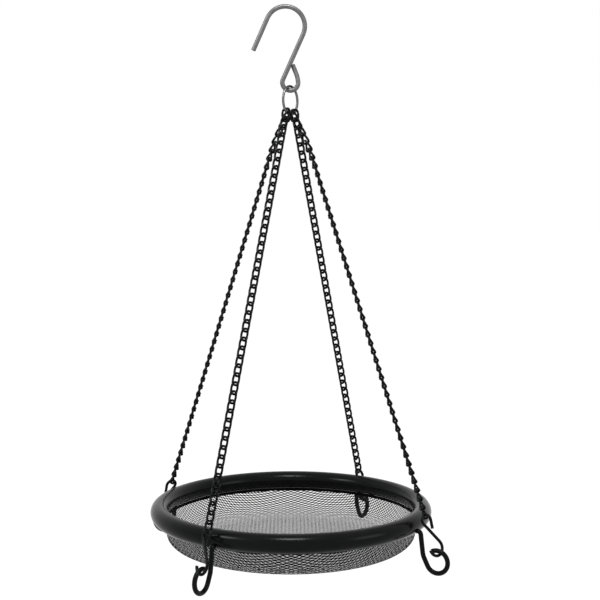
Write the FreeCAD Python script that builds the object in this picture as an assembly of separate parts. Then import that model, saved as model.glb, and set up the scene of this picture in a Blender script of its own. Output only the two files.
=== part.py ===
import FreeCAD, Part
import math
import os

from FreeCAD import Vector

# Hanging platform feeder: a tube rim with a mesh dish, carried by four twisted-link chains
# from one small ring, which hangs on a hook bent from plain wire.
# Lengths are in millimetres. +Z is up, and the origin is below the middle of the dish,
# level with the underside of the four loops. The loops stand on the X and Y axes.

# Rim tube
RIM_OUTER_DIAMETER = 300.0
RIM_TUBE_DIAMETER = 19.8
RIM_STEPS = 52
RIM_SIDES = 12

# Mesh dish
DISH_WALL = 1.2
DISH_DEPTH = 29.1
DISH_FLOOR_RADIUS = 104.0
DISH_WALL_LEAN = 1.7
DISH_SHOULDER_RISE = 16.0
DISH_SHOULDER_STEPS = 3
DISH_LIP_INSET = 5.4
DISH_SEAT_GAP = 0.3
DISH_STEPS = 36
WALL_GAP_WIDTH = 17.0
WALL_GAP_HEIGHT = 8.5
FLOOR_GAP_LENGTH = 26.0
FLOOR_GAP_WIDTH = 16.0
FLOOR_STRAND = 3.2
FLOOR_GAP_MARGIN = 4.0
MESH_TURN = 30.3

# Loops under the rim
SIDES_OF_TRAY = 4
LOOP_WIRE = 5.0
LOOP_RADIUS = 11.6
LOOP_REACH = 20.3
LOOP_DROP = 34.6
LOOP_STUB_DROP = 5.2
LOOP_STUB_DEPTH = 4.0
LOOP_BEND = 3.6
LOOP_BEND_DROP = 7.5
LOOP_LEG_LEAN = 9.0
LOOP_LEG_LENGTH = 24.0
LOOP_START_ANGLE = 206.0
LOOP_SWEEP = 272.0
LOOP_STEPS = 11
LOOP_SIDES = 6
SOCKET_CLEARANCE = 0.05

# Clips between the loops and the chains
CLIP_WIRE = 3.4
CLIP_TOP_RADIUS = 5.6
CLIP_BOTTOM_RADIUS = 8.3
CLIP_LENGTH = 42.6
CLIP_OFFSET = 1.2
CLIP_TAIL = 10.0
CLIP_TAIL_INSET = 1.3
CLIP_TURN = 67.0
CLIP_CUT_ANGLE = 184.0
CLIP_TAIL_ANGLE = -10.0
CLIP_BEND_STEPS = 8
CLIP_SIDES = 6

# Chains
LINK_COUNT = 48
LINK_PITCH = 9.17
LINK_WIRE = 2.2
LINK_WIDTH = 9.2
LINK_END_WIDTH = 8.2
LINK_TWIST = 57.5
LINK_SIDES = 4
CROWDED_LINKS = 6
CHAIN_SPREAD = 8.8
CHAIN_CROWD = 3.5
TURN_PER_LINK = 10.0
TURN_ACROSS_RING = -100.0
TURN_ALONG_RING = -20.0
TURN_ON_CLIP = -58.0
LINK_PAST_RING = 4.8
LINK_PAST_CLIP = 6.0

# Ring and hanging hook
RING_DIAMETER = 32.2
RING_WIRE = 2.7
HOOK_WIRE = 4.8
HOOK_RADIUS = 20.45
HOOK_LEAN = 24.5
HOOK_EYE_RADIUS = 8.3
HOOK_ARM_LENGTH = 33.0
HOOK_RISE = 58.1
HOOK_END_LENGTH = 14.8
HOOK_END_LEAN = 20.0
HOOK_END_SET_BACK = 3.4
HOOK_SET_BACK_BENDS = 5
HOOK_PLANE_TURN = 30.3
HOOK_BOW_STEPS = 14
HOOK_EYE_STEPS = 10
HOOK_SIDES = 8
RING_STEPS = 20
RING_SIDES = 6
RING_HEIGHT_ABOVE_RIM = 434.0

SEAT_GAP = 0.3
CLIP_SAG = 1.0

RIM_RADIUS = (RIM_OUTER_DIAMETER - RIM_TUBE_DIAMETER) / 2
LOOP_CENTRE_RADIUS = RIM_OUTER_DIAMETER / 2 + LOOP_REACH
UP = Vector(0, 0, 1)
SIDE_NAMES = ("right", "back", "left", "front")
OUT_OF_PLANE = 1e-7


def corner_radius(diameter, sides):
    """Corner radius of a polygon with the area of a round wire."""
    return diameter / 2 * math.sqrt(2 * math.pi / (sides * math.sin(2 * math.pi / sides)))


def radial(turn, reach, across, height):
    """A point given from the tray's axis: outwards, sideways and up, turned about the axis."""
    c = math.cos(math.radians(turn))
    s = math.sin(math.radians(turn))
    return Vector(reach * c - across * s, reach * s + across * c, height)


def arc(centre, radius, start, sweep, steps):
    """Points of an arc in a plane, angles in degrees counted from the first axis."""
    points = []
    for i in range(steps + 1):
        a = math.radians(start + sweep * i / steps)
        points.append((centre[0] + radius * math.cos(a), centre[1] + radius * math.sin(a)))
    return points


def unit(v):
    return v * (1.0 / v.Length)


def flat_faces(corners):
    """The face between four corners, as two triangles where the corners aren't in one plane."""
    a, b, c, d = corners
    normal = (b - a).cross(c - a)
    if abs(normal.dot(d - a)) < OUT_OF_PLANE * normal.Length:
        return [Part.Face(Part.makePolygon([a, b, c, d, a]))]
    return [
        Part.Face(Part.makePolygon([a, b, c, a])),
        Part.Face(Part.makePolygon([a, c, d, a])),
    ]


def skin(rings, closed):
    """A solid from rings of corners: walls between neighbouring rings, caps on the open ends."""
    faces = []
    for i in range(len(rings) - 1):
        low = rings[i]
        high = rings[i + 1]
        for j in range(len(low)):
            k = (j + 1) % len(low)
            faces += flat_faces([low[j], low[k], high[k], high[j]])
    if not closed:
        for ring in (rings[0], rings[-1]):
            faces.append(Part.Face(Part.makePolygon(ring + [ring[0]])))
    solid = Part.Solid(Part.Shell(faces))
    if solid.Volume < 0:
        solid.reverse()
    return solid


def bent_wire(points, diameter, sides, side_way, closed=False):
    """Wire bent along points, mitred at each of them. Its section is a polygon of the
    round wire's area, with a corner towards side_way at the start."""
    radius = corner_radius(diameter, sides)
    count = len(points)
    runs = []
    for i in range(count if closed else count - 1):
        runs.append(unit(points[(i + 1) % count] - points[i]))
    first = runs[-1] if closed else runs[0]
    across = unit(side_way - first * side_way.dot(first))
    other = first.cross(across)
    offsets = []
    for j in range(sides):
        a = 2 * math.pi * j / sides
        offsets.append(across * (radius * math.cos(a)) + other * (radius * math.sin(a)))
    start = offsets[0]
    rings = []
    for i in range(count):
        before = runs[i - 1] if closed or i > 0 else runs[0]
        after = runs[i] if closed or i < count - 1 else runs[-1]
        mitre = unit(before + after)
        ring = []
        for o in offsets:
            ring.append(points[i] + o - before * (o.dot(mitre) / before.dot(mitre)))
        rings.append(ring)
        offsets = [o - mitre * (2 * o.dot(mitre)) for o in offsets]
    if closed:
        gaps = [(o - start).Length for o in offsets]
        turned = gaps.index(min(gaps))
        rings.append(rings[0][-turned:] + rings[0][:-turned] if turned else rings[0])
    return skin(rings, closed)


RIM_CORNER = corner_radius(RIM_TUBE_DIAMETER, RIM_SIDES)
LOOP_CORNER = corner_radius(LOOP_WIRE, LOOP_SIDES)
CLIP_CORNER = corner_radius(CLIP_WIRE, CLIP_SIDES)
LINK_CORNER = corner_radius(LINK_WIRE, LINK_SIDES)
RING_CORNER = corner_radius(RING_WIRE, RING_SIDES)
HOOK_CORNER = corner_radius(HOOK_WIRE, HOOK_SIDES)

# Heights, from the underside of the loops up
LOOP_CENTRE_HEIGHT = LOOP_RADIUS + LOOP_CORNER
LOOP_TOP_HEIGHT = LOOP_CENTRE_HEIGHT + LOOP_RADIUS
RIM_HEIGHT = LOOP_CENTRE_HEIGHT + LOOP_DROP
RING_HEIGHT = RIM_HEIGHT + RING_HEIGHT_ABOVE_RIM


# Loops: a stub let into the rim tube, a leg leaning outwards, and a loop turned outwards
def loop_outline():
    """The loop's centre line as (reach, height), from the stub's end to the cut end."""
    half_tube = RIM_TUBE_DIAMETER / 2
    tube_face = RIM_RADIUS + math.sqrt(half_tube ** 2 - LOOP_STUB_DROP ** 2)
    stub_height = RIM_HEIGHT - LOOP_STUB_DROP
    leg_top = tube_face + LOOP_BEND
    third = LOOP_BEND / 3
    lean = math.tan(math.radians(LOOP_LEG_LEAN))
    outline = [(tube_face - LOOP_STUB_DEPTH, stub_height)]
    outline.append((tube_face + third, stub_height))
    outline.append((leg_top - third / 2, stub_height - LOOP_BEND_DROP / 3))
    outline.append((leg_top, stub_height - LOOP_BEND_DROP))
    leg_end = leg_top + lean * (LOOP_LEG_LENGTH - LOOP_BEND_DROP)
    outline.append((leg_end, stub_height - LOOP_LEG_LENGTH))
    centre = (LOOP_CENTRE_RADIUS, LOOP_CENTRE_HEIGHT)
    outline += arc(centre, LOOP_RADIUS, LOOP_START_ANGLE, LOOP_SWEEP, LOOP_STEPS)
    return outline


def make_loop(turn, diameter):
    points = [radial(turn, reach, 0, height) for reach, height in loop_outline()]
    return bent_wire(points, diameter, LOOP_SIDES, radial(turn, 0, 1, 0))


# The load line runs from each loop's top, through its clip and chain, to the ring
RING_WIRE_RADIUS = (RING_DIAMETER - RING_WIRE) / 2
CHAIN_TOP_HEIGHT = RING_HEIGHT - math.sqrt(RING_WIRE_RADIUS ** 2 - CHAIN_SPREAD ** 2)
LOAD_LEAN = math.atan2(LOOP_CENTRE_RADIUS - CHAIN_SPREAD, CHAIN_TOP_HEIGHT - LOOP_TOP_HEIGHT)


def clip_axes(turn):
    """The clip's place: the middle of its lower bend, the way across it, and the way up."""
    up = radial(turn, -math.sin(LOAD_LEAN), 0, math.cos(LOAD_LEAN))
    flat = radial(turn, math.cos(math.radians(CLIP_TURN)), math.sin(math.radians(CLIP_TURN)), 0)
    across = unit(flat - up * flat.dot(up))
    drop = LOOP_CORNER + SEAT_GAP + CLIP_CORNER + CLIP_SAG
    seat = radial(turn, LOOP_CENTRE_RADIUS, 0, LOOP_TOP_HEIGHT)
    return seat - up * drop, across, up


# Clips: one wire bent both ways, its top bend through the chain and its lower under the loop
def clip_outline():
    """The clip's centre line as (across, up) from the lowest point of its lower bend. Its
    straight shank leaves one bend and runs into the other along their common tangent."""
    low = (0.0, CLIP_BOTTOM_RADIUS)
    high = (-CLIP_OFFSET, CLIP_LENGTH - CLIP_TOP_RADIUS)
    rise = high[1] - low[1]
    crossing = (CLIP_BOTTOM_RADIUS + CLIP_TOP_RADIUS) / math.hypot(CLIP_OFFSET, rise)
    shank = math.degrees(math.atan2(rise, -CLIP_OFFSET) + math.asin(crossing))
    low_sweep = shank + 270 - CLIP_CUT_ANGLE
    high_sweep = CLIP_TAIL_ANGLE - (shank + 90)
    outline = arc(low, CLIP_BOTTOM_RADIUS, CLIP_CUT_ANGLE, low_sweep, CLIP_BEND_STEPS)
    outline += arc(high, CLIP_TOP_RADIUS, shank + 90, high_sweep, CLIP_BEND_STEPS)
    outline.append((high[0] + CLIP_TOP_RADIUS - CLIP_TAIL_INSET, high[1] - CLIP_TAIL))
    return outline


def make_clip(turn):
    place, across, up = clip_axes(turn)
    points = [place + across * x + up * y for x, y in clip_outline()]
    return bent_wire(points, CLIP_WIRE, CLIP_SIDES, across.cross(up))


def clip_crown(turn):
    place, across, up = clip_axes(turn)
    return place - across * CLIP_OFFSET + up * CLIP_LENGTH


# Chains: twisted links, each hung in the one above
LINK_HALF = (LINK_PITCH + 2 * LINK_CORNER + SEAT_GAP) / 2
LINK_HALF_END = (LINK_END_WIDTH - LINK_WIRE) / 2
LINK_HALF_SIDE = (LINK_WIDTH - LINK_WIRE) / 2


def make_link(centre, down, face, turn):
    """One link: six bent runs, its two ends twisted opposite ways from its flat face."""
    flat = unit(face.cross(down))
    front = down.cross(flat)
    across = flat * math.cos(turn) + front * math.sin(turn)
    out = front * math.cos(turn) - flat * math.sin(turn)
    c = LINK_HALF_END * math.cos(math.radians(LINK_TWIST))
    s = LINK_HALF_END * math.sin(math.radians(LINK_TWIST))
    corners = (
        (-c, -s, -LINK_HALF), (c, s, -LINK_HALF), (LINK_HALF_SIDE, 0, 0),
        (c, -s, LINK_HALF), (-c, s, LINK_HALF), (-LINK_HALF_SIDE, 0, 0),
    )
    points = [centre + across * x + out * y + down * z for x, y, z in corners]
    return bent_wire(points, LINK_WIRE, LINK_SIDES, out, closed=True)


def chain_path(turn, side):
    """A chain's line from the ring's wire to its clip. The chains that cross the ring
    start close together and bend onto their load lines over the first few links."""
    end = clip_crown(turn)
    top = radial(turn, CHAIN_SPREAD, 0, CHAIN_TOP_HEIGHT)
    if side % 2 == 1:
        return [top, end]
    crowd = CHAIN_CROWD if side == 0 else -CHAIN_CROWD
    start = Vector(0, crowd, RING_HEIGHT - math.sqrt(RING_WIRE_RADIUS ** 2 - CHAIN_CROWD ** 2))
    line = unit(end - top)
    path = []
    for i in range(CROWDED_LINKS + 1):
        share = 1 - i / CROWDED_LINKS
        path.append(top + line * (LINK_PITCH * i) + (start - top) * share ** 2)
    return path + [end]


def point_along(path, distance):
    for i in range(len(path) - 2):
        run = path[i + 1] - path[i]
        if distance < run.Length:
            return path[i] + unit(run) * distance
        distance -= run.Length
    return path[-2] + unit(path[-1] - path[-2]) * distance


def make_chain(turn, side):
    path = chain_path(turn, side)
    path[0] = path[0] - unit(path[1] - path[0]) * LINK_PAST_RING
    path[-1] = path[-1] + unit(path[-1] - path[-2]) * LINK_PAST_CLIP
    length = sum((path[i + 1] - path[i]).Length for i in range(len(path) - 1))
    spacing = (length - 2 * LINK_HALF) / (LINK_COUNT - 1)
    on_ring = TURN_ALONG_RING if side % 2 == 1 else TURN_ACROSS_RING
    links = []
    for i in range(LINK_COUNT):
        head = point_along(path, spacing * i)
        foot = point_along(path, spacing * i + 2 * LINK_HALF)
        from_ring = max(0, abs(on_ring) - TURN_PER_LINK * i)
        from_clip = max(0, abs(TURN_ON_CLIP) - TURN_PER_LINK * (LINK_COUNT - 1 - i))
        turned = math.copysign(from_ring, on_ring) + math.copysign(from_clip, TURN_ON_CLIP)
        middle = (head + foot) * 0.5
        links.append(make_link(middle, unit(foot - head), radial(turn, 1, 0, 0), math.radians(turned)))
    return Part.Compound(links)


# Ring: plain wire, closed, in the plane of the front and back chains
def make_ring():
    points = []
    for y, z in arc((0, RING_HEIGHT), RING_WIRE_RADIUS, 0, 360, RING_STEPS)[:-1]:
        points.append(Vector(0, y, z))
    return bent_wire(points, RING_WIRE, RING_SIDES, Vector(1, 0, 0), closed=True)


# Hook: an open bow over the branch, a slanting shank, and an eye closed against the shank
EYE_HEIGHT = RING_HEIGHT + RING_WIRE_RADIUS - RING_CORNER - SEAT_GAP - HOOK_CORNER
HOOK_EYE_CENTRE = (0.0, EYE_HEIGHT + HOOK_EYE_RADIUS)


def hook_bow_centre():
    """The bow's centre, placed so that the straight shank touches both bends."""
    lean = math.radians(HOOK_LEAN)
    rise = HOOK_RISE
    span = HOOK_RADIUS + HOOK_EYE_RADIUS
    return (-(span - rise * math.sin(lean)) / math.cos(lean), HOOK_EYE_CENTRE[1] + rise)


def make_hook():
    lean = HOOK_LEAN
    bow = hook_bow_centre()
    turn = math.radians(HOOK_PLANE_TURN)
    run = Vector(math.cos(turn), math.sin(turn), 0)
    back = Vector(-math.sin(turn), math.cos(turn), 0)
    arm = arc(bow, HOOK_RADIUS, 180 - lean, -180, HOOK_BOW_STEPS)
    down = (-math.sin(math.radians(lean)), -math.cos(math.radians(lean)))
    tip = (arm[0][0] + down[0] * HOOK_ARM_LENGTH, arm[0][1] + down[1] * HOOK_ARM_LENGTH)
    eye_sweep = 180 + lean + HOOK_END_LEAN
    eye = arc(HOOK_EYE_CENTRE, HOOK_EYE_RADIUS, 180 - lean, eye_sweep, HOOK_EYE_STEPS)
    end_way = (-math.sin(math.radians(HOOK_END_LEAN)), math.cos(math.radians(HOOK_END_LEAN)))
    end = (eye[-1][0] + end_way[0] * HOOK_END_LENGTH, eye[-1][1] + end_way[1] * HOOK_END_LENGTH)
    points = []
    for x, z in [tip] + arm + eye + [end]:
        points.append(run * x + UP * z)
    for i in range(HOOK_SET_BACK_BENDS):
        share = (i + 1) / HOOK_SET_BACK_BENDS
        points[i - HOOK_SET_BACK_BENDS] += back * (HOOK_END_SET_BACK * share)
    return bent_wire(points, HOOK_WIRE, HOOK_SIDES, back)


# Rim: a round tube bent into a ring, with a socket for each loop's stub
def make_rim():
    points = []
    for i in range(RIM_STEPS):
        points.append(radial(360 * i / RIM_STEPS, RIM_RADIUS, 0, RIM_HEIGHT))
    rim = bent_wire(points, RIM_TUBE_DIAMETER, RIM_SIDES, UP, closed=True)
    for side in range(SIDES_OF_TRAY):
        turn = side * 360 / SIDES_OF_TRAY
        rim = rim.cut(make_loop(turn, LOOP_WIRE + 2 * SOCKET_CLEARANCE))
    return rim


# Dish: mesh pressed into a shallow bowl, its lip close under the rim tube
def ring_of(radius, height):
    corners = []
    for i in range(DISH_STEPS):
        a = 2 * math.pi * (i + 0.5) / DISH_STEPS
        corners.append(Vector(radius * math.cos(a), radius * math.sin(a), height))
    return corners


def dish_outline(inset):
    """One face of the dish as (radius, height), from the flat floor out to the lip."""
    floor = RIM_HEIGHT - RIM_TUBE_DIAMETER / 2 - DISH_DEPTH
    lip_radius = RIM_RADIUS - DISH_LIP_INSET - inset
    run = lip_radius - DISH_WALL_LEAN - DISH_FLOOR_RADIUS
    rise = DISH_SHOULDER_RISE - inset
    outline = []
    for i in range(DISH_SHOULDER_STEPS + 1):
        a = math.pi / 2 * i / DISH_SHOULDER_STEPS
        reach = DISH_FLOOR_RADIUS + run * math.sin(a)
        outline.append((reach, floor + inset + rise * (1 - math.cos(a))))
    clear = RIM_CORNER + DISH_SEAT_GAP
    lip_height = RIM_HEIGHT - math.sqrt(clear ** 2 - DISH_LIP_INSET ** 2)
    outline.append((lip_radius, lip_height))
    return outline


def floor_gaps():
    """Middles of the gaps in the flat floor: rows set off by half a gap, whole gaps only."""
    long_pitch = FLOOR_GAP_LENGTH * (1 + 2 * FLOOR_STRAND / FLOOR_GAP_WIDTH)
    short_pitch = FLOOR_GAP_WIDTH * long_pitch / FLOOR_GAP_LENGTH
    reach = DISH_FLOOR_RADIUS - FLOOR_GAP_MARGIN
    rows = int(2 * reach / short_pitch)
    columns = int(reach / long_pitch) + 1
    middles = []
    for row in range(-rows, rows + 1):
        y = row * short_pitch / 2
        for column in range(-columns, columns + 1):
            x = (column + row % 2 / 2) * long_pitch
            tips = (abs(x) + FLOOR_GAP_LENGTH / 2, abs(y) + FLOOR_GAP_WIDTH / 2)
            if math.hypot(tips[0], y) < reach and math.hypot(x, tips[1]) < reach:
                middles.append((x, y))
    return middles


def make_dish():
    inner = dish_outline(DISH_WALL)
    outer = dish_outline(0)
    rings = [ring_of(radius, height) for radius, height in inner + outer[::-1]]
    dish = skin(rings, False)
    depth = 4 * DISH_WALL
    cutters = []
    foot, lip = outer[-2:]
    for i in range(DISH_STEPS):
        turn = 360 * i / DISH_STEPS
        across = radial(turn, 0, WALL_GAP_WIDTH / 2, 0)
        slope = unit(radial(turn, lip[0] - foot[0], 0, lip[1] - foot[1]))
        through = slope.cross(unit(across)) * depth
        middle = radial(turn, (foot[0] + lip[0]) / 2, 0, (foot[1] + lip[1]) / 2)
        cutters.append(diamond(middle - through * 0.5, across, slope * (WALL_GAP_HEIGHT / 2), through))
    along = radial(MESH_TURN, FLOOR_GAP_LENGTH / 2, 0, 0)
    across = radial(MESH_TURN, 0, FLOOR_GAP_WIDTH / 2, 0)
    for x, y in floor_gaps():
        middle = radial(MESH_TURN, x, y, outer[0][1] - depth / 2)
        cutters.append(diamond(middle, across, along, UP * depth))
    return dish.cut(cutters)


def diamond(middle, across, along, through):
    corners = [middle + across, middle + along, middle - across, middle - along]
    return Part.Face(Part.makePolygon(corners + [corners[0]])).extrude(through)


parts = {"hanging_hook": make_hook(), "top_ring": make_ring()}
for number, name in enumerate(SIDE_NAMES):
    angle = number * 360 / SIDES_OF_TRAY
    parts["chain_" + name] = make_chain(angle, number)
    parts["clip_" + name] = make_clip(angle)
    parts["loop_" + name] = make_loop(angle, LOOP_WIRE)
parts["rim"] = make_rim()
parts["mesh_dish"] = make_dish()

os.makedirs("parts", exist_ok=True)
for name, shape in parts.items():
    shape.exportStep("parts/" + name + ".step")
    print(name, len(shape.Solids), "solids,", len(shape.Faces), "faces, valid", shape.isValid())
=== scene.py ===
import math

import bmesh
import bpy
from mathutils import Matrix, Vector


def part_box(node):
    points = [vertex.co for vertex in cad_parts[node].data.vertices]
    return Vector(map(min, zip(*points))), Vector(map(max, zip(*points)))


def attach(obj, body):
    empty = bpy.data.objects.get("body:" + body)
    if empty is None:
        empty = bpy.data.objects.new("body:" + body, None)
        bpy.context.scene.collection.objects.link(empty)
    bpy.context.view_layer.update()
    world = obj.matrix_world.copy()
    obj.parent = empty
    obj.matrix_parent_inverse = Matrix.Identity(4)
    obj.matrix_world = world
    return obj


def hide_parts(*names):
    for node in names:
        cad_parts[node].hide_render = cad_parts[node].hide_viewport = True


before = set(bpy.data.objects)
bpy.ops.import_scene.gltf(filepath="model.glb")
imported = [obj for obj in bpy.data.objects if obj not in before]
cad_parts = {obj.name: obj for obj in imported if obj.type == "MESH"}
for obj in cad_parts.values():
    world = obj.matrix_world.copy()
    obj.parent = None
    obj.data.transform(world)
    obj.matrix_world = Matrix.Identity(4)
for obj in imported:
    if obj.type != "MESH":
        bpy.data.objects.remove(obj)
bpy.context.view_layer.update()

# Surroundings: the feeder hangs in a white studio, well above a pale floor. One soft lamp lights
# it from overhead and two weaker ones from the left and the right.
FLOOR_DROP = 0.55
FLOOR_SIZE = 80.0
FLOOR_DARK = (0.93, 0.93, 0.93, 1)
FLOOR_LIGHT = (0.97, 0.97, 0.97, 1)
FLOOR_CLOUDS = 3.0
FLOOR_GLOW = 1.1
GLOW_SHARE = 0.88
WHITE = (1, 1, 1, 1)
BACKDROP_STRENGTH = 1.0
WALL_STRENGTH = 0.7
WALL_DARK = (0.25, 0.25, 0.25, 1)
WALL_DARK_BELOW = 0.30
WALL_LIGHT_ABOVE = 0.75

bpy.ops.object.select_all(action="DESELECT")
bpy.ops.mesh.primitive_plane_add(size=FLOOR_SIZE, location=(0, 0, -FLOOR_DROP))
floor = bpy.context.object
floor.name = "floor"
bpy.ops.object.transform_apply()


def seen_or_mirrored(nodes, links):
    """A socket that is 1 for rays from the camera, through glass or off gloss, and else 0."""
    path = nodes.new("ShaderNodeLightPath")
    seen = nodes.new("ShaderNodeMath")
    seen.operation = "MAXIMUM"
    links.new(path.outputs["Is Camera Ray"], seen.inputs[0])
    links.new(path.outputs["Is Transmission Ray"], seen.inputs[1])
    mirrored = nodes.new("ShaderNodeMath")
    mirrored.operation = "MAXIMUM"
    links.new(seen.outputs[0], mirrored.inputs[0])
    links.new(path.outputs["Is Glossy Ray"], mirrored.inputs[1])
    return mirrored.outputs[0]


floor_paint = bpy.data.materials.new("floor_paint")
floor_paint.use_nodes = True
nodes = floor_paint.node_tree.nodes
links = floor_paint.node_tree.links
nodes.clear()
matt = nodes.new("ShaderNodeBsdfDiffuse")
grain = nodes.new("ShaderNodeTexNoise")
grain.inputs["Scale"].default_value = FLOOR_CLOUDS
tint = nodes.new("ShaderNodeValToRGB")
tint.color_ramp.elements[0].color = FLOOR_DARK
tint.color_ramp.elements[1].color = FLOOR_LIGHT
place = nodes.new("ShaderNodeTexCoord")
links.new(place.outputs["Object"], grain.inputs["Vector"])
links.new(grain.outputs["Fac"], tint.inputs["Fac"])
links.new(tint.outputs["Color"], matt.inputs["Color"])
glow = nodes.new("ShaderNodeEmission")
glow.inputs["Color"].default_value = WHITE
glow.inputs["Strength"].default_value = FLOOR_GLOW
share = nodes.new("ShaderNodeMath")
share.operation = "MULTIPLY"
share.inputs[1].default_value = GLOW_SHARE
links.new(seen_or_mirrored(nodes, links), share.inputs[0])
both = nodes.new("ShaderNodeMixShader")
links.new(share.outputs[0], both.inputs[0])
links.new(matt.outputs[0], both.inputs[1])
links.new(glow.outputs[0], both.inputs[2])
out = nodes.new("ShaderNodeOutputMaterial")
links.new(both.outputs[0], out.inputs["Surface"])
floor.data.materials.append(floor_paint)

world = bpy.data.worlds.new("studio")
bpy.context.scene.world = world
world.use_nodes = True
nodes = world.node_tree.nodes
links = world.node_tree.links
nodes.clear()
white = nodes.new("ShaderNodeBackground")
white.inputs["Color"].default_value = WHITE
white.inputs["Strength"].default_value = BACKDROP_STRENGTH
walls = nodes.new("ShaderNodeBackground")
walls.inputs["Strength"].default_value = WALL_STRENGTH
way = nodes.new("ShaderNodeTexCoord")
split = nodes.new("ShaderNodeSeparateXYZ")
links.new(way.outputs["Generated"], split.inputs[0])
rise = nodes.new("ShaderNodeValToRGB")
rise.color_ramp.elements[0].position = WALL_DARK_BELOW
rise.color_ramp.elements[0].color = WALL_DARK
rise.color_ramp.elements[1].position = WALL_LIGHT_ABOVE
rise.color_ramp.elements[1].color = WHITE
lift = nodes.new("ShaderNodeMapRange")
lift.inputs["From Min"].default_value = -1.0
lift.inputs["From Max"].default_value = 1.0
links.new(split.outputs["Z"], lift.inputs["Value"])
links.new(lift.outputs["Result"], rise.inputs["Fac"])
links.new(rise.outputs["Color"], walls.inputs["Color"])
both = nodes.new("ShaderNodeMixShader")
links.new(seen_or_mirrored(nodes, links), both.inputs[0])
links.new(walls.outputs[0], both.inputs[1])
links.new(white.outputs[0], both.inputs[2])
out = nodes.new("ShaderNodeOutputWorld")
links.new(both.outputs[0], out.inputs["Surface"])


def soft_lamp(name, place, aim, size, power):
    """A square soft lamp at a place, facing the point it is aimed at."""
    light = bpy.data.lights.new(name, "AREA")
    light.shape = "SQUARE"
    light.size = size
    light.energy = power
    lamp = bpy.data.objects.new(name, light)
    bpy.context.scene.collection.objects.link(lamp)
    lamp.location = place
    lamp.rotation_euler = (Vector(aim) - Vector(place)).to_track_quat("-Z", "Y").to_euler()


soft_lamp("overhead_lamp", place=(0.37, -0.63, 1.75), aim=(0, 0, 0.1), size=0.4, power=16)
soft_lamp("left_lamp", place=(-0.8, -1.35, 1.35), aim=(0, 0, 0.35), size=0.5, power=11)
soft_lamp("right_lamp", place=(1.7, 0.1, 0.7), aim=(0, 0, 0.25), size=0.7, power=4)

# Camera: a little above the rim and well back, turned to the picture's angle. The hook's plane
# and the dish's mesh are turned by LOOK_TURN too.
LOOK_TURN = 30.3
PAN = -0.44
VIEW_DROP = 4.32
VIEW_ROLL = 0.07
CAMERA_PLACE = (0.6533, -1.1179, 0.3712)
FOCAL_LENGTH = 73.46
SENSOR_WIDTH = 36.0

lens = bpy.data.cameras.new("camera")
lens.lens = FOCAL_LENGTH
lens.sensor_width = SENSOR_WIDTH
camera = bpy.data.objects.new("camera", lens)
bpy.context.scene.collection.objects.link(camera)
camera.location = CAMERA_PLACE
camera.rotation_euler = (
    math.radians(90 - VIEW_DROP), math.radians(VIEW_ROLL), math.radians(LOOK_TURN + PAN))
bpy.context.scene.camera = camera
bpy.context.scene.view_settings.view_transform = "Standard"

# Hanging hook: 4.8 mm bright steel wire. The open bow goes over a branch, the shank slants
# down to the eye, and the eye is closed with its end lying behind the shank.
MM = 0.001
SHORTEST_RUN = 1e-5
WIRE_WELD = 1e-6
SHARP_ABOVE = math.radians(40)
HOOK_WIRE = 4.8
BOW_RADIUS = 20.45
BOW_PLACE = (-5.12, 58.1)
EYE_RADIUS = 8.3
SHANK_LEAN = 24.0
ARM_LENGTH = 36.5
EYE_CLOSING = 8.0
EYE_SIDE = (7.3, 6.6)
HOOK_END = (2.5, 18.6)
HOOK_END_BEND = 18.0
END_SET_BACK = 3.9
SET_BACK_EARLY = 0.2
SET_BACK_LATE = 0.6
EYE_BEND = 0.98 * EYE_RADIUS
HOOK_LIFT = 0.13


def tangent_corners(centre, radius, start, sweep, parts):
    """Corners of the straight lines that touch an arc, where each two of them meet."""
    half = sweep / parts / 2
    reach = radius / math.cos(math.radians(half))
    corners = []
    for i in range(parts):
        a = math.radians(start + half * (2 * i + 1))
        corners.append((centre[0] + reach * math.cos(a), centre[1] + reach * math.sin(a)))
    return corners


def on_arc(centre, radius, angle):
    """The point of a circle at an angle."""
    a = math.radians(angle)
    return (centre[0] + radius * math.cos(a), centre[1] + radius * math.sin(a))


def bend_wire(name, corners, radii, diameter, sides=14, bend_step=12.0):
    """A round wire from the first corner to the last, drawn straight and bent at each corner
    between them to its radius. Lengths are in millimetres."""
    corners = [Vector(c) * MM for c in corners]
    way = (corners[1] - corners[0]).normalized()
    bpy.ops.object.select_all(action="DESELECT")
    bpy.ops.mesh.primitive_circle_add(
        vertices=sides, radius=diameter * MM / 2, fill_type="NOTHING", location=corners[0],
        rotation=way.to_track_quat("Z", "Y").to_euler())
    wire = bpy.context.object
    wire.name = name
    bpy.ops.object.transform_apply()
    bpy.ops.object.mode_set(mode="EDIT")
    bpy.ops.mesh.select_all(action="SELECT")
    here = corners[0]
    for i in range(1, len(corners) - 1):
        before = (corners[i] - corners[i - 1]).normalized()
        after = (corners[i + 1] - corners[i]).normalized()
        turn = before.angle(after)
        radius = radii[i - 1] * MM
        trim = radius * math.tan(turn / 2)
        start = corners[i] - before * trim
        if (start - here).dot(before) > SHORTEST_RUN:
            bpy.ops.mesh.extrude_region_move(TRANSFORM_OT_translate={"value": start - here})
        axis = before.cross(after).normalized()
        bpy.ops.mesh.spin(
            steps=max(2, math.ceil(math.degrees(turn) / bend_step)), angle=-turn,
            center=start + axis.cross(before) * radius, axis=axis)
        here = corners[i] + after * trim
    if (corners[-1] - here).length > SHORTEST_RUN:
        bpy.ops.mesh.extrude_region_move(TRANSFORM_OT_translate={"value": corners[-1] - here})
    bpy.ops.mesh.select_all(action="SELECT")
    bpy.ops.mesh.remove_doubles(threshold=WIRE_WELD)
    bpy.ops.mesh.fill_holes(sides=0)
    bpy.ops.mesh.select_all(action="SELECT")
    bpy.ops.mesh.normals_make_consistent(inside=False)
    bpy.ops.object.mode_set(mode="OBJECT")
    bpy.ops.object.shade_smooth_by_angle(angle=SHARP_ABOVE)
    return wire


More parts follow.
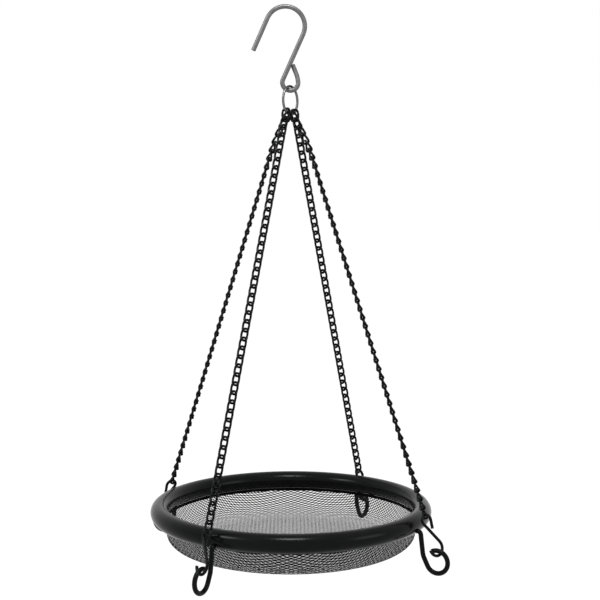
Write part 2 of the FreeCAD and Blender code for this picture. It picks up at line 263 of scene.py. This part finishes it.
def in_hook_plane(x, z, back=0.0):
    """A point given sideways, up and back in the upright plane that the hook lies in."""
    turn = math.radians(LOOK_TURN)
    return (x * math.cos(turn) - back * math.sin(turn), x * math.sin(turn) + back * math.cos(turn), z)


hook_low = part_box("hanging_hook")[0]
EYE_CENTRE = (0.0, hook_low.z / MM + HOOK_WIRE / 2 + EYE_RADIUS + HOOK_LIFT)
BOW_CENTRE = (BOW_PLACE[0], EYE_CENTRE[1] + BOW_PLACE[1])
lean = math.radians(SHANK_LEAN)
bow_start = on_arc(BOW_CENTRE, BOW_RADIUS, 180 - SHANK_LEAN)
tip = (bow_start[0] - ARM_LENGTH * math.sin(lean), bow_start[1] - ARM_LENGTH * math.cos(lean))
outline = [in_hook_plane(*tip)]
for corner in tangent_corners(BOW_CENTRE, BOW_RADIUS, 180 - SHANK_LEAN, -180, 3):
    outline.append(in_hook_plane(*corner))
eye_sweep = 180 + SHANK_LEAN + EYE_CLOSING
eye_corners = tangent_corners(EYE_CENTRE, EYE_RADIUS, 180 - SHANK_LEAN, eye_sweep, 3)
outline.append(in_hook_plane(*eye_corners[0]))
outline.append(in_hook_plane(*eye_corners[1]))
outline.append(in_hook_plane(*eye_corners[2], END_SET_BACK * SET_BACK_EARLY))
outline.append(in_hook_plane(
    EYE_SIDE[0], EYE_CENTRE[1] + EYE_SIDE[1], END_SET_BACK * SET_BACK_LATE))
outline.append(in_hook_plane(HOOK_END[0], EYE_CENTRE[1] + HOOK_END[1], END_SET_BACK))
hook_bends = [BOW_RADIUS] * 3 + [EYE_BEND] * 3 + [HOOK_END_BEND]
hook = bend_wire("hanging_hook_wire", outline, hook_bends, HOOK_WIRE, sides=20, bend_step=8.0)
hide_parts("hanging_hook")
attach(hook, "hook")

# Finish of the bright wire: a fine grain, a slightly uneven tarnish, and painted shade that darkens
# the edges of its reflections.
PAINTED_EDGE_SHADE = (0.3, 0.3, 0.3, 1)
drawn_wire = bpy.data.node_groups.new("drawn_wire", "ShaderNodeTree")
for label, start in (("Fine Scale", 300.0), ("Patch Scale", 90.0), ("Low", 0.2), ("High", 0.4)):
    socket = drawn_wire.interface.new_socket(label, in_out="INPUT", socket_type="NodeSocketFloat")
    socket.default_value = start
drawn_wire.interface.new_socket("Shade", in_out="OUTPUT", socket_type="NodeSocketFloat")
drawn_wire.interface.new_socket("Roughness", in_out="OUTPUT", socket_type="NodeSocketFloat")
drawn_wire.interface.new_socket("Height", in_out="OUTPUT", socket_type="NodeSocketFloat")
nodes = drawn_wire.nodes
links = drawn_wire.links
given = nodes.new("NodeGroupInput")
told = nodes.new("NodeGroupOutput")
place = nodes.new("ShaderNodeTexCoord")
fine = nodes.new("ShaderNodeTexNoise")
fine.inputs["Detail"].default_value = 4.0
links.new(place.outputs["Object"], fine.inputs["Vector"])
links.new(given.outputs["Fine Scale"], fine.inputs["Scale"])
patch = nodes.new("ShaderNodeTexNoise")
patch.inputs["Detail"].default_value = 3.0
links.new(place.outputs["Object"], patch.inputs["Vector"])
links.new(given.outputs["Patch Scale"], patch.inputs["Scale"])
mixed = nodes.new("ShaderNodeMath")
mixed.operation = "MULTIPLY"
links.new(fine.outputs["Fac"], mixed.inputs[0])
links.new(patch.outputs["Fac"], mixed.inputs[1])
spread = nodes.new("ShaderNodeMapRange")
spread.inputs["From Min"].default_value = 0.12
spread.inputs["From Max"].default_value = 0.40
links.new(mixed.outputs[0], spread.inputs["Value"])
links.new(spread.outputs["Result"], told.inputs["Shade"])
rough = nodes.new("ShaderNodeMapRange")
rough.inputs["From Min"].default_value = 0.3
rough.inputs["From Max"].default_value = 0.7
links.new(patch.outputs["Fac"], rough.inputs["Value"])
links.new(given.outputs["Low"], rough.inputs["To Min"])
links.new(given.outputs["High"], rough.inputs["To Max"])
links.new(rough.outputs["Result"], told.inputs["Roughness"])
links.new(fine.outputs["Fac"], told.inputs["Height"])


def bright_steel(name, dark, light, low, high, bump):
    """Bare bright steel, its colour between two shades and its gloss between two values."""
    finish = bpy.data.materials.new(name)
    finish.use_nodes = True
    nodes = finish.node_tree.nodes
    links = finish.node_tree.links
    metal = nodes["Principled BSDF"]
    metal.inputs["Metallic"].default_value = 1.0
    # A grey edge tint darkens the steel's grazing reflections: painted shade along the wire's edges.
    metal.inputs["Specular Tint"].default_value = PAINTED_EDGE_SHADE
    wear = nodes.new("ShaderNodeGroup")
    wear.node_tree = drawn_wire
    wear.inputs["Low"].default_value = low
    wear.inputs["High"].default_value = high
    colour = nodes.new("ShaderNodeValToRGB")
    colour.color_ramp.elements[0].color = dark + (1,)
    colour.color_ramp.elements[1].color = light + (1,)
    links.new(wear.outputs["Shade"], colour.inputs["Fac"])
    links.new(colour.outputs["Color"], metal.inputs["Base Color"])
    links.new(wear.outputs["Roughness"], metal.inputs["Roughness"])
    raised = nodes.new("ShaderNodeBump")
    raised.inputs["Strength"].default_value = bump
    raised.inputs["Distance"].default_value = 0.0002
    links.new(wear.outputs["Height"], raised.inputs["Height"])
    links.new(raised.outputs["Normal"], metal.inputs["Normal"])
    return finish


hook.data.materials.append(bright_steel(
    "hook_steel", dark=(0.13, 0.13, 0.13), light=(0.18, 0.18, 0.178), low=0.42, high=0.48, bump=0.01))

# Top ring: thinner bright wire, closed and welded. It hangs in the hook's eye and carries
# the end links of all four chains.
RING_WIRE = 2.7
RING_RADIUS = 14.75

ring_low, ring_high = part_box("top_ring")
RING_HEIGHT = (ring_low.z + ring_high.z) / 2 / MM
bpy.ops.object.select_all(action="DESELECT")
bpy.ops.mesh.primitive_torus_add(
    major_segments=64, minor_segments=14,
    major_radius=RING_RADIUS * MM, minor_radius=RING_WIRE * MM / 2,
    location=(0, 0, RING_HEIGHT * MM), rotation=(0, math.radians(90), 0))
ring = bpy.context.object
ring.name = "top_ring_wire"
bpy.ops.object.transform_apply()
bpy.ops.object.shade_smooth()
ring.data.materials.append(bright_steel(
    "ring_steel", dark=(0.12, 0.12, 0.12), light=(0.17, 0.17, 0.17), low=0.26, high=0.32, bump=0.01))
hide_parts("top_ring")
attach(ring, "ring")

# Rim: a steel tube rolled into a circle, welded shut and powder-coated black.
RIM_RADIUS = 140.1
RIM_TUBE = 19.8

rim_low, rim_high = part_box("rim")
RIM_HEIGHT = (rim_low.z + rim_high.z) / 2 / MM
bpy.ops.object.select_all(action="DESELECT")
bpy.ops.mesh.primitive_torus_add(
    major_segments=160, minor_segments=32,
    major_radius=RIM_RADIUS * MM, minor_radius=RIM_TUBE * MM / 2,
    location=(0, 0, RIM_HEIGHT * MM))
rim = bpy.context.object
rim.name = "rim_tube"
bpy.ops.object.transform_apply()
bpy.ops.object.shade_smooth()
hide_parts("rim")
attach(rim, "tray")

# Finish of the black coat: satin, with a fine peel and faint dust, and a painted blue tint in its
# highlights.
PAINTED_HIGHLIGHT_TINT = (0.93, 0.98, 1.0, 1)
coat_wear = bpy.data.node_groups.new("coat_wear", "ShaderNodeTree")
for label, start in (("Peel Scale", 1400.0), ("Dust Scale", 38.0), ("Gloss", 0.28), ("Dull", 0.42)):
    socket = coat_wear.interface.new_socket(label, in_out="INPUT", socket_type="NodeSocketFloat")
    socket.default_value = start
coat_wear.interface.new_socket("Dust", in_out="OUTPUT", socket_type="NodeSocketFloat")
coat_wear.interface.new_socket("Roughness", in_out="OUTPUT", socket_type="NodeSocketFloat")
coat_wear.interface.new_socket("Height", in_out="OUTPUT", socket_type="NodeSocketFloat")
nodes = coat_wear.nodes
links = coat_wear.links
given = nodes.new("NodeGroupInput")
told = nodes.new("NodeGroupOutput")
place = nodes.new("ShaderNodeTexCoord")
peel = nodes.new("ShaderNodeTexNoise")
peel.inputs["Detail"].default_value = 2.0
links.new(place.outputs["Object"], peel.inputs["Vector"])
links.new(given.outputs["Peel Scale"], peel.inputs["Scale"])
cloud = nodes.new("ShaderNodeTexNoise")
cloud.inputs["Detail"].default_value = 5.0
cloud.inputs["Roughness"].default_value = 0.65
links.new(place.outputs["Object"], cloud.inputs["Vector"])
links.new(given.outputs["Dust Scale"], cloud.inputs["Scale"])
dust = nodes.new("ShaderNodeMapRange")
dust.inputs["From Min"].default_value = 0.38
dust.inputs["From Max"].default_value = 0.72
links.new(cloud.outputs["Fac"], dust.inputs["Value"])
links.new(dust.outputs["Result"], told.inputs["Dust"])
rough = nodes.new("ShaderNodeMapRange")
rough.inputs["From Min"].default_value = 0.3
rough.inputs["From Max"].default_value = 0.7
links.new(cloud.outputs["Fac"], rough.inputs["Value"])
links.new(given.outputs["Gloss"], rough.inputs["To Min"])
links.new(given.outputs["Dull"], rough.inputs["To Max"])
links.new(rough.outputs["Result"], told.inputs["Roughness"])
links.new(peel.outputs["Fac"], told.inputs["Height"])


def black_coat(name, clean, dusty, gloss, dull, bump, shine):
    """Black powder coat, its colour between clean and dusty and its gloss between two values."""
    finish = bpy.data.materials.new(name)
    finish.use_nodes = True
    nodes = finish.node_tree.nodes
    links = finish.node_tree.links
    coat = nodes["Principled BSDF"]
    coat.inputs["Specular IOR Level"].default_value = shine
    # The coat's reflections are tinted a little blue: a painted highlight colour.
    coat.inputs["Specular Tint"].default_value = PAINTED_HIGHLIGHT_TINT
    wear = nodes.new("ShaderNodeGroup")
    wear.node_tree = coat_wear
    wear.inputs["Gloss"].default_value = gloss
    wear.inputs["Dull"].default_value = dull
    colour = nodes.new("ShaderNodeValToRGB")
    colour.color_ramp.elements[0].color = clean + (1,)
    colour.color_ramp.elements[1].color = dusty + (1,)
    links.new(wear.outputs["Dust"], colour.inputs["Fac"])
    links.new(colour.outputs["Color"], coat.inputs["Base Color"])
    links.new(wear.outputs["Roughness"], coat.inputs["Roughness"])
    raised = nodes.new("ShaderNodeBump")
    raised.inputs["Strength"].default_value = bump
    raised.inputs["Distance"].default_value = 0.0001
    links.new(wear.outputs["Height"], raised.inputs["Height"])
    links.new(raised.outputs["Normal"], coat.inputs["Normal"])
    return finish


rim.data.materials.append(black_coat(
    "rim_coat", clean=(0.002, 0.002, 0.002), dusty=(0.004, 0.004, 0.004),
    gloss=0.18, dull=0.24, bump=0.06, shine=0.085))

# Mesh dish: fine expanded steel mesh, coated black, pressed into a shallow bowl with a flat
# floor. The diamonds keep the lie of the flat sheet, and the edge ends in a plain band.
MESH_LONG = 8.6
MESH_SHORT = 2.9
HOLE_LONG = 6.68
HOLE_SHORT = 1.2
HOLE_FLAT = 0.2
MESH_SHEET = 0.05
FLAT_RADIUS = 104.0
FOOT_RADIUS = 133.0
SHOULDER_RISE = 16.0
LIP_RADIUS = 134.6
BEND_POINTS = 12
BAND_HEIGHT = 3.3
BAND_SHEET = 1.0
BAND_RISE = 0.3
SHEET_LIFT = 0.4
SHEET_MARGIN = 1.5
KNOT_WELD = 2e-5

dish_low, dish_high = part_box("mesh_dish")
FLOOR_HEIGHT = dish_low.z / MM + SHEET_LIFT
LIP_HEIGHT = dish_high.z / MM


def dish_profile():
    """Points of the pressed sheet's section, as (reach, height): a flat floor, a shoulder
    bent up as a quarter ellipse, and a wall that leans out a little."""
    points = [(0.0, FLOOR_HEIGHT)]
    for i in range(BEND_POINTS + 1):
        a = math.pi / 2 * i / BEND_POINTS
        reach = FLAT_RADIUS + (FOOT_RADIUS - FLAT_RADIUS) * math.sin(a)
        points.append((reach, FLOOR_HEIGHT + SHOULDER_RISE * (1 - math.cos(a))))
    points.append((LIP_RADIUS, LIP_HEIGHT))
    return points


def along_profile(profile, distance):
    """The point of the section at a distance along the sheet from the dish's middle."""
    for (x0, z0), (x1, z1) in zip(profile, profile[1:]):
        run = math.hypot(x1 - x0, z1 - z0)
        if distance <= run:
            return x0 + (x1 - x0) * distance / run, z0 + (z1 - z0) * distance / run
        distance -= run
    return profile[-1]


profile = dish_profile()
sheet_radius = 0.0
for (x0, z0), (x1, z1) in zip(profile, profile[1:]):
    sheet_radius += math.hypot(x1 - x0, z1 - z0)

bpy.ops.object.select_all(action="DESELECT")
bpy.ops.mesh.primitive_circle_add(vertices=4, radius=1.0, fill_type="NGON")
mesh_sheet = bpy.context.object
mesh_sheet.name = "dish_mesh"
mesh_sheet.scale = (MESH_LONG * MM / 2, MESH_SHORT * MM / 2, 1)
bpy.ops.object.transform_apply()
diamond = bmesh.new()
diamond.from_mesh(mesh_sheet.data)
cell = diamond.faces[:][0]
right, top, left, bottom = sorted(cell.verts, key=lambda v: math.atan2(v.co.y, v.co.x) % math.tau)
hole = []
for x, y in ((1, 0), (HOLE_FLAT, 1), (-HOLE_FLAT, 1), (-1, 0), (-HOLE_FLAT, -1), (HOLE_FLAT, -1)):
    hole.append(diamond.verts.new((x * HOLE_LONG * MM / 2, y * HOLE_SHORT * MM / 2, 0)))
bmesh.ops.delete(diamond, geom=[cell], context="FACES_ONLY")
for corners in (
        (right, top, hole[1], hole[0]), (top, hole[2], hole[1]),
        (top, left, hole[3], hole[2]), (left, bottom, hole[4], hole[3]),
        (bottom, hole[5], hole[4]), (bottom, right, hole[0], hole[5])):
    diamond.faces.new(corners)
diamond.to_mesh(mesh_sheet.data)
diamond.free()
across = math.ceil(sheet_radius / MESH_LONG) + 1
upward = math.ceil(sheet_radius / MESH_SHORT) + 1
for step, count in (((MESH_LONG, 0), 2 * across), ((0, MESH_SHORT), 2 * upward)):
    row = mesh_sheet.modifiers.new("row", "ARRAY")
    row.use_relative_offset = False
    row.use_constant_offset = True
    row.constant_offset_displace = (step[0] * MM, step[1] * MM, 0)
    row.count = count
    bpy.ops.object.modifier_apply(modifier="row")
second = mesh_sheet.modifiers.new("second", "ARRAY")
second.use_relative_offset = False
second.use_constant_offset = True
second.constant_offset_displace = (MESH_LONG * MM / 2, MESH_SHORT * MM / 2, 0)
second.count = 2
bpy.ops.object.modifier_apply(modifier="second")

sheet = bmesh.new()
sheet.from_mesh(mesh_sheet.data)
to_middle = (-across * MESH_LONG * MM, -upward * MESH_SHORT * MM, 0)
bmesh.ops.translate(sheet, verts=sheet.verts, vec=to_middle)
outside = []
for face in sheet.faces:
    if face.calc_center_median().length > (sheet_radius + SHEET_MARGIN) * MM:
        outside.append(face)
bmesh.ops.delete(sheet, geom=outside, context="FACES")
bmesh.ops.remove_doubles(sheet, verts=sheet.verts, dist=KNOT_WELD)
turn = math.radians(LOOK_TURN)
for v in sheet.verts:
    reach, height = along_profile(profile, math.hypot(v.co.x, v.co.y) / MM)
    angle = math.atan2(v.co.y, v.co.x) + turn
    v.co = Vector((reach * math.cos(angle), reach * math.sin(angle), height)) * MM
bmesh.ops.recalc_face_normals(sheet, faces=sheet.faces)
sheet.to_mesh(mesh_sheet.data)
sheet.free()
bpy.context.view_layer.objects.active = mesh_sheet
thick = mesh_sheet.modifiers.new("thick", "SOLIDIFY")
thick.thickness = MESH_SHEET * MM
thick.offset = 0
bpy.ops.object.modifier_apply(modifier="thick")
mesh_sheet.data.materials.append(black_coat(
    "mesh_coat", clean=(0.003, 0.003, 0.003), dusty=(0.006, 0.006, 0.006),
    gloss=0.4, dull=0.55, bump=0.1, shine=0.08))

bpy.ops.object.select_all(action="DESELECT")
bpy.ops.mesh.primitive_circle_add(
    vertices=128, radius=LIP_RADIUS * MM, fill_type="NOTHING",
    location=(0, 0, (LIP_HEIGHT + BAND_RISE - BAND_HEIGHT) * MM))
band = bpy.context.object
band.name = "dish_band"
bpy.ops.object.transform_apply()
bpy.ops.object.mode_set(mode="EDIT")
bpy.ops.mesh.select_all(action="SELECT")
bpy.ops.mesh.extrude_region_move(TRANSFORM_OT_translate={"value": (0, 0, BAND_HEIGHT * MM)})
bpy.ops.mesh.select_all(action="SELECT")
bpy.ops.mesh.normals_make_consistent(inside=False)
bpy.ops.object.mode_set(mode="OBJECT")
thick = band.modifiers.new("thick", "SOLIDIFY")
thick.thickness = BAND_SHEET * MM
thick.offset = 0
bpy.ops.object.modifier_apply(modifier="thick")
bpy.ops.object.shade_smooth_by_angle(angle=SHARP_ABOVE)
band.data.materials.append(black_coat(
    "band_coat", clean=(0.001, 0.001, 0.001), dusty=(0.002, 0.002, 0.002),
    gloss=0.5, dull=0.6, bump=0.1, shine=0.04))
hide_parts("mesh_dish")
for piece in (mesh_sheet, band):
    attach(piece, "tray")

# Loops: 5 mm black-coated wire, its stub welded into the rim tube. The leg leans outwards
# and ends in an open round loop turned away from the tray.
LOOP_WIRE = 5.0
LOOP_RADIUS = 11.6
LOOP_REACH = 170.15
LOOP_START = 206.0
LOOP_SWEEP = 272.0
STUB_REACH = 145.0
LEG_TOP_REACH = 151.8
LEG_TOP_DROP = 5.2
LEG_TOP_BEND = 3.4
LEG_END = (154.74, 19.74)
LEG_END_BEND = 14.0
LOOP_LIFT = 0.24
SIDE_TURNS = {"right": 0, "back": 90, "left": 180, "front": 270}


def radial(turn, reach, across, height):
    """A point given outwards from the tray's axis, sideways and up, turned about the axis."""
    c = math.cos(math.radians(turn))
    s = math.sin(math.radians(turn))
    return Vector((reach * c - across * s, reach * s + across * c, height))


loop_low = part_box("loop_right")[0]
LOOP_HEIGHT = loop_low.z / MM + LOOP_RADIUS + LOOP_WIRE / 2 + LOOP_LIFT
wire_coat = black_coat(
    "wire_coat", clean=(0.0015, 0.0015, 0.002), dusty=(0.004, 0.004, 0.004),
    gloss=0.26, dull=0.34, bump=0.08, shine=0.08)
stub_height = RIM_HEIGHT - LEG_TOP_DROP
loop_path = [(STUB_REACH, stub_height), (LEG_TOP_REACH, stub_height), LEG_END]
loop_path += tangent_corners((LOOP_REACH, LOOP_HEIGHT), LOOP_RADIUS, LOOP_START, LOOP_SWEEP, 3)
loop_path.append(on_arc((LOOP_REACH, LOOP_HEIGHT), LOOP_RADIUS, LOOP_START + LOOP_SWEEP))
loop_bends = [LEG_TOP_BEND, LEG_END_BEND] + [LOOP_RADIUS] * 3
for side, turn in SIDE_TURNS.items():
    points = [radial(turn, reach, 0, height) for reach, height in loop_path]
    loop = bend_wire("loop_wire_" + side, points, loop_bends, LOOP_WIRE, sides=16, bend_step=10.0)
    loop.data.materials.append(wire_coat)
    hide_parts("loop_" + side)
    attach(loop, "tray")

# Clips: 3.2 mm black-coated wire bent into an S. The wide lower bend hooks round the top of the
# loop, and the narrow upper bend carries the chain's last link.
CLIP_WIRE = 3.2
CLIP_LOW_RADIUS = 8.3
CLIP_HIGH_RADIUS = 5.6
CLIP_LENGTH = 42.6
CLIP_OFFSET = 1.2
CLIP_TAIL = 10.0
CLIP_TAIL_INSET = 1.3
CLIP_TAIL_TURN = 10.0
CLIP_TURN = 67.0
CLIP_LOW_START = 184.0
CLIP_DROP = 5.0
LOAD_LEAN = 0.348
LOOP_TOP_HEIGHT = LOOP_HEIGHT + LOOP_RADIUS


def clip_axes(turn):
    """A clip's foot, its sideways direction and its upward one, leaning with the load."""
    up = radial(turn, -math.sin(LOAD_LEAN), 0, math.cos(LOAD_LEAN))
    flat = radial(turn, math.cos(math.radians(CLIP_TURN)), math.sin(math.radians(CLIP_TURN)), 0)
    across = (flat - up * flat.dot(up)).normalized()
    seat = radial(turn, LOOP_REACH, 0, LOOP_TOP_HEIGHT)
    return seat - up * CLIP_DROP, across, up


low = (0.0, CLIP_LOW_RADIUS)
high = (-CLIP_OFFSET, CLIP_LENGTH - CLIP_HIGH_RADIUS)
between = math.hypot(high[0] - low[0], high[1] - low[1])
shank_way = math.degrees(math.atan2(high[1] - low[1], high[0] - low[0])
                         + math.asin((CLIP_LOW_RADIUS + CLIP_HIGH_RADIUS) / between))
low_sweep = shank_way - 90 + 360 - CLIP_LOW_START
high_start = shank_way + 90
high_sweep = high_start + CLIP_TAIL_TURN
clip_path = [on_arc(low, CLIP_LOW_RADIUS, CLIP_LOW_START)]
clip_path += tangent_corners(low, CLIP_LOW_RADIUS, CLIP_LOW_START, low_sweep, 3)
clip_path += tangent_corners(high, CLIP_HIGH_RADIUS, high_start, -high_sweep, 3)
clip_path.append((high[0] + CLIP_HIGH_RADIUS - CLIP_TAIL_INSET, high[1] - CLIP_TAIL))
clip_bends = [CLIP_LOW_RADIUS] * 3 + [CLIP_HIGH_RADIUS] * 3
for side, turn in SIDE_TURNS.items():
    foot, across_way, up_way = clip_axes(turn)
    points = [foot + across_way * x + up_way * y for x, y in clip_path]
    clip = bend_wire("clip_wire_" + side, points, clip_bends, CLIP_WIRE, sides=12, bend_step=14.0)
    clip.data.materials.append(wire_coat)
    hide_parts("clip_" + side)
    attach(clip, "tray")

# Chains: 2.6 mm wire bent into oval links and twisted, so that each lies nearly flat in the
# next. The end links are turned to lie across the ring's wire and the clip's, and the first one
# is wider, to stay clear of the ring when the tray swings.
LINK_COUNT = 48
LINK_PITCH = 9.17
LINK_WIRE = 2.6
LINK_HALF = 6.0
LINK_WIDE = 3.0
END_LINK_WIDE = 3.5
LINK_SIDES = 6
LINK_CORNER = 2.0
LINK_TWIST = 51.5
FACE_TURN = -31.0
CHAIN_SPREAD = 8.8
CHAIN_CROWD = 3.5
CROWDED_LINKS = 6
TURN_PER_LINK = 10.0
TURN_NEAR_CLIP = 1.4
TURN_ACROSS_RING = -70.0
TURN_ALONG_RING = -9.0
TURN_ON_CLIP = -14.0
LINK_PAST_RING = 3.05
LINK_PAST_CLIP = 3.3
LINK_WELD = 1e-5


def twisted_link(name, wide):
    """One link: half of it is bent up, copied and turned over to close the oval, then twisted."""
    half = [(wide, 0, 0), (wide, 0, LINK_HALF), (-wide, 0, LINK_HALF), (-wide, 0, 0)]
    link = bend_wire(name, half, [LINK_CORNER] * 2, LINK_WIRE, LINK_SIDES, bend_step=45.0)
    bpy.ops.object.mode_set(mode="EDIT")
    bpy.ops.mesh.select_all(action="DESELECT")
    bpy.ops.object.mode_set(mode="OBJECT")
    for face in link.data.polygons:
        face.select = len(face.vertices) == LINK_SIDES
    bpy.ops.object.mode_set(mode="EDIT")
    bpy.ops.mesh.delete(type="ONLY_FACE")
    bpy.ops.mesh.select_all(action="SELECT")
    bpy.ops.mesh.duplicate()
    bpy.ops.transform.rotate(value=math.pi, orient_axis="Y", center_override=(0, 0, 0))
    bpy.ops.mesh.select_all(action="SELECT")
    bpy.ops.mesh.remove_doubles(threshold=LINK_WELD)
    bpy.ops.mesh.normals_make_consistent(inside=False)
    bpy.ops.object.mode_set(mode="OBJECT")
    twist = link.modifiers.new("twist", "SIMPLE_DEFORM")
    twist.deform_method = "TWIST"
    twist.deform_axis = "Z"
    twist.angle = math.radians(-2 * LINK_TWIST)
    bpy.ops.object.modifier_apply(modifier="twist")
    bpy.ops.object.shade_smooth()
    return link


link = twisted_link("link_pattern", LINK_WIDE)
end_link = twisted_link("end_link_pattern", END_LINK_WIDE)
chain_coat = black_coat(
    "chain_coat", clean=(0.0012, 0.0012, 0.0015), dusty=(0.004, 0.004, 0.004),
    gloss=0.26, dull=0.34, bump=0.06, shine=0.1)


def point_along(path, distance):
    """The point at a distance along a chain's path; its last stretch runs on straight."""
    for i in range(len(path) - 2):
        run = path[i + 1] - path[i]
        if distance < run.length:
            return path[i] + run.normalized() * distance
        distance -= run.length
    return path[-2] + (path[-1] - path[-2]).normalized() * distance


for side, turn in SIDE_TURNS.items():
    foot, across_way, up_way = clip_axes(turn)
    last = foot - across_way * CLIP_OFFSET + up_way * CLIP_LENGTH
    seat_height = RING_HEIGHT - math.sqrt(RING_RADIUS ** 2 - CHAIN_SPREAD ** 2)
    top = radial(turn, CHAIN_SPREAD, 0, seat_height)
    line = (last - top).normalized()
    if side in ("front", "back"):
        path = [top, last]
        on_ring = TURN_ALONG_RING
    else:
        crowd = CHAIN_CROWD if side == "right" else -CHAIN_CROWD
        start = Vector((0, crowd, RING_HEIGHT - math.sqrt(RING_RADIUS ** 2 - CHAIN_CROWD ** 2)))
        path = []
        for i in range(CROWDED_LINKS + 1):
            left_over = (1 - i / CROWDED_LINKS) ** 2
            path.append(top + line * (LINK_PITCH * i) + (start - top) * left_over)
        path.append(last)
        on_ring = TURN_ACROSS_RING
    path[0] = path[0] - (path[1] - path[0]).normalized() * LINK_PAST_RING
    path[-1] = path[-1] + (path[-1] - path[-2]).normalized() * LINK_PAST_CLIP
    length = sum((path[i + 1] - path[i]).length for i in range(len(path) - 1))
    spacing = (length - 2 * LINK_HALF) / (LINK_COUNT - 1)
    copies = []
    for i in range(LINK_COUNT):
        head = point_along(path, spacing * i)
        end = point_along(path, spacing * i + 2 * LINK_HALF)
        down = (end - head).normalized()
        from_ring = max(0, abs(on_ring) - TURN_PER_LINK * i)
        from_clip = max(0, abs(TURN_ON_CLIP) - TURN_NEAR_CLIP * (LINK_COUNT - 1 - i))
        turned = math.radians(
            FACE_TURN + math.copysign(from_ring, on_ring) + math.copysign(from_clip, TURN_ON_CLIP))
        flat = radial(turn, 1, 0, 0).cross(down).normalized()
        front = down.cross(flat)
        wide = flat * math.cos(turned) + front * math.sin(turned)
        deep = front * math.cos(turned) - flat * math.sin(turned)
        centre = (head + end) * 0.5 * MM
        pattern = end_link if i == 0 else link
        one = bpy.data.objects.new("link", pattern.data.copy())
        bpy.context.scene.collection.objects.link(one)
        one.matrix_world = Matrix((
            (wide.x, deep.x, down.x, centre.x),
            (wide.y, deep.y, down.y, centre.y),
            (wide.z, deep.z, down.z, centre.z),
            (0, 0, 0, 1)))
        copies.append(one)
    bpy.ops.object.select_all(action="DESELECT")
    for one in copies:
        one.select_set(True)
    chain = copies[0]
    bpy.context.view_layer.objects.active = chain
    bpy.ops.object.join()
    bpy.ops.object.transform_apply()
    chain.name = "chain_links_" + side
    chain.data.materials.append(chain_coat)
    bpy.ops.object.mode_set(mode="EDIT")
    bpy.ops.mesh.select_all(action="SELECT")
    bpy.ops.mesh.normals_make_consistent(inside=False)
    bpy.ops.object.mode_set(mode="OBJECT")
    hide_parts("chain_" + side)
    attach(chain, "tray")
bpy.data.objects.remove(link)
bpy.data.objects.remove(end_link)
